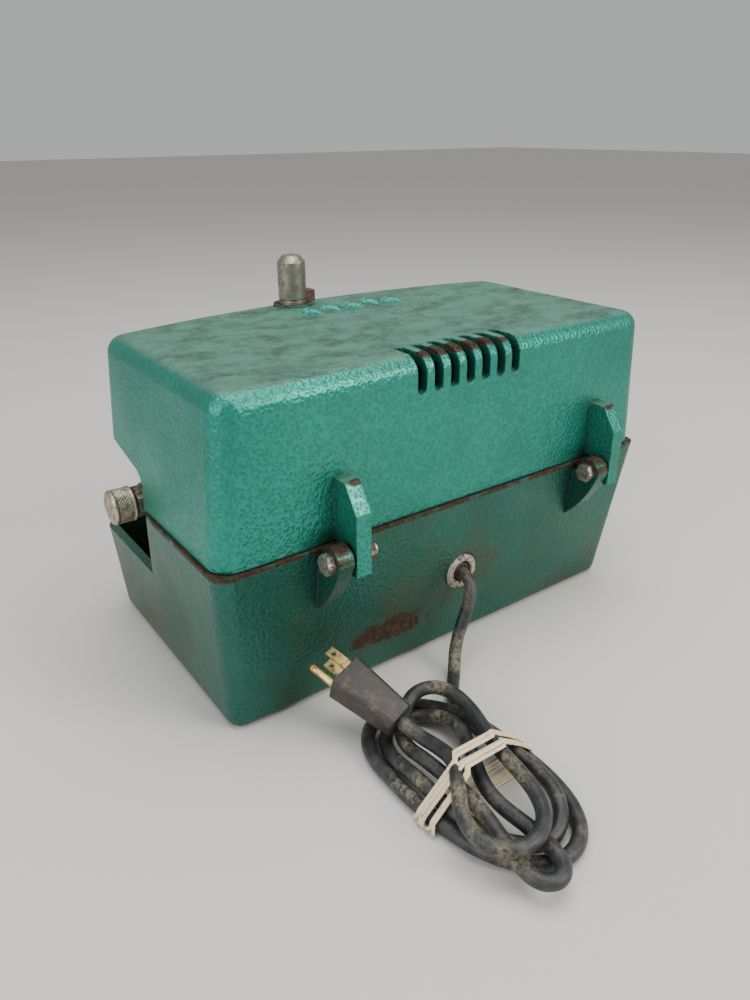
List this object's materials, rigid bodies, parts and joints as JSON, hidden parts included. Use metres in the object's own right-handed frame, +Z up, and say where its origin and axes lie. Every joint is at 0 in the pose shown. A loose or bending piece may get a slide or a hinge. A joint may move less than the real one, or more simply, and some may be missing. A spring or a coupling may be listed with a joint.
{
  "type": "laboratory centrifuge",
  "caption": "Cast-metal bench centrifuge with a rear-hinged vented lid, open front tray, short lid post, speed knob and coiled mains cord.",
  "frame": {"origin": "on the floor under the middle of the base casting's footprint", "axes": "+X along the machine's length to the speed knob's end, +Y to the rear with the hinges and the cord, +Z up"},
  "size_m": [0.3562, 0.3961, 0.2471],
  "materials": {
    "base_paint": "hammered enamel, worn and rusted",
    "lid_paint": "hammered enamel, dusty",
    "post_steel": "dull nickel plate",
    "dark_iron": "rusty",
    "bolt_steel": "dirty, part rusted",
    "bushing_steel": "rusty plate",
    "cord_rubber": "dusty",
    "band_rubber": "natural rubber",
    "plug_rubber": "aged",
    "brass": "tarnished",
    "knob_metal": "worn nickel over brass",
    "moulding": "phenolic",
    "fibre": "vulcanised fibre",
    "bright_steel": "ground",
    "sheet_steel": "plated sheet",
    "alloy": "turned",
    "iron": "machined and painted",
    "lamination": "varnished laminations",
    "copper": "copper",
    "belt_rubber": "matte",
    "carbon": "pressed carbon"
  },
  "bodies": {
    "base": {"base_casting": "base_paint", "hinge_bolts": "bolt_steel", "hinge_nuts": "bolt_steel", "cord_bushing": "bushing_steel", "bushing_locknut": "bushing_steel", "strain_relief": "plug_rubber", "terminal_block": "moulding", "terminal_screws": "brass", "deck_plate": "sheet_steel", "deck_screws": "bolt_steel", "guard_bowl": "alloy", "bearing_housing": "iron", "spindle_bearings": "bright_steel", "drive_belt": "belt_rubber", "lower_end_bell": "iron", "upper_end_bell": "iron", "field_core": "lamination", "brush_tubes": "moulding", "carbon_brushes": "carbon", "motor_bearings": "bright_steel", "speed_control": "moulding", "fibre_washer": "fibre", "bushing_nut": "bright_steel", "cord_lead": "cord_rubber", "cord_hank": "cord_rubber", "cord_band": "band_rubber", "plug_body": "plug_rubber", "cord_tail": "cord_rubber", "plug_blades": "brass", "plug_ground_pin": "brass"},
    "lid": {"lid_casting": "lid_paint", "lift_post": "post_steel", "post_clamp": "dark_iron"},
    "rotor": {"spindle_shaft": "bright_steel", "spindle_pulley": "alloy", "rotor_head": "alloy", "tube_shields": "brass", "rotor_nut": "bright_steel"},
    "armature": {"motor_shaft": "bright_steel", "armature_core": "lamination", "commutator": "copper", "cooling_fan": "sheet_steel", "motor_pulley": "alloy"},
    "knob": {"speed_knob": "knob_metal", "control_shaft": "bright_steel", "knob_screw": "bolt_steel"}
  },
  "joints": [
    {"name": "lid_hinge", "type": "hinge", "parent": "base", "child": "lid", "pos_m": [0, 0.1159, 0.1115], "axis": [-1, 0, 0], "range_deg": [0, 90]},
    {"name": "rotor_spin", "type": "hinge", "parent": "base", "child": "rotor", "pos_m": [0.062, 0.048, 0.1], "axis": [0, 0, 1], "continuous": true},
    {"name": "motor_spin", "type": "hinge", "parent": "base", "child": "armature", "pos_m": [-0.085, 0.048, 0.1], "axis": [0, 0, 1], "continuous": true},
    {"name": "speed_knob_turn", "type": "hinge", "parent": "base", "child": "knob", "pos_m": [0.1575, -0.017, 0.115], "axis": [1, 0, 0], "range_deg": [0, 300]}
  ],
  "couplings": [
    {"joint": "motor_spin", "follows": "rotor_spin", "ratio": 1.5}
  ]
}
